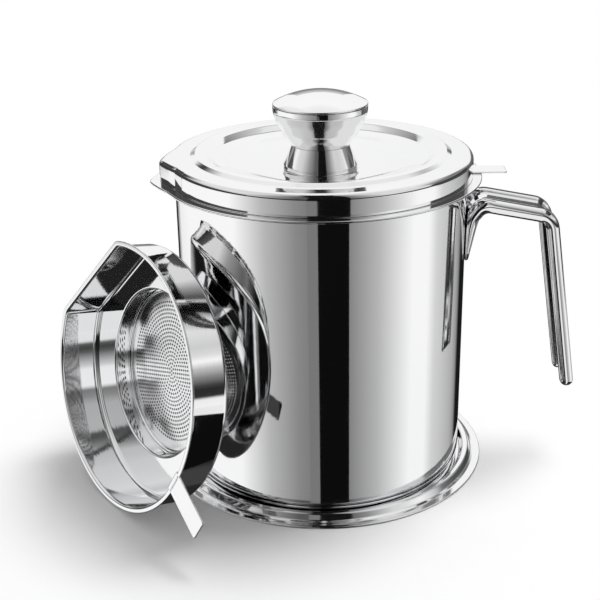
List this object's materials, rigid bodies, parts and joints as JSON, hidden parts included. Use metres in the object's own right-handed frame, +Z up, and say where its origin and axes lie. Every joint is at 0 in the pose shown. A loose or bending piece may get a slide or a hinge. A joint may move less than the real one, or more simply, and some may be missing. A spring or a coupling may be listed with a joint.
{
  "type": "grease container with strainer",
  "caption": "Round lidded steel pot with a pouring nose, a side handle and a waisted knob, on a round tray, with a shallow strainer in its mouth and another beside it.",
  "frame": {"origin": "the pot's axis at floor level, in the tray's underside", "axes": "+Z up the pot's axis, +X towards the handle, -X towards the pouring nose"},
  "size_m": [0.2237, 0.1719, 0.1611],
  "materials": {
    "tray_steel": "mirror polished",
    "pot_steel": "mirror polished",
    "handle_steel": "mirror polished",
    "lid_steel": "mirror polished",
    "knob_steel": "mirror polished",
    "strainer_steel": "mirror polished",
    "screw_steel": "satin"
  },
  "bodies": {
    "tray": {"tray": "tray_steel"},
    "pot": {"pot_body": "pot_steel", "handle": "handle_steel"},
    "seated_strainer": {"strainer_bowl": "strainer_steel", "strainer_collar": "strainer_steel", "strainer_disc": "strainer_steel"},
    "lid": {"lid_shell": "lid_steel", "knob_base": "knob_steel", "knob_cup": "knob_steel", "knob_cap": "knob_steel", "knob_washer": "screw_steel", "knob_screw": "screw_steel"},
    "spare_strainer": {"spare_strainer_bowl": "strainer_steel", "spare_strainer_collar": "strainer_steel", "spare_strainer_disc": "strainer_steel"}
  },
  "joints": [
    {"name": "pot_lift", "type": "slide", "parent": "tray", "child": "pot", "axis": [0, 0, 1], "range_m": [0, 0.06]},
    {"name": "strainer_lift", "type": "slide", "parent": "pot", "child": "seated_strainer", "axis": [0, 0, 1], "range_m": [0, 0.045]},
    {"name": "lid_lift", "type": "slide", "parent": "seated_strainer", "child": "lid", "axis": [0, 0, 1], "range_m": [0, 0.05]},
    {"name": "spare_strainer_draw", "type": "slide", "parent": "tray", "child": "spare_strainer", "axis": [-0.7839, -0.595, 0.1771], "range_m": [0, 0.06]}
  ]
}
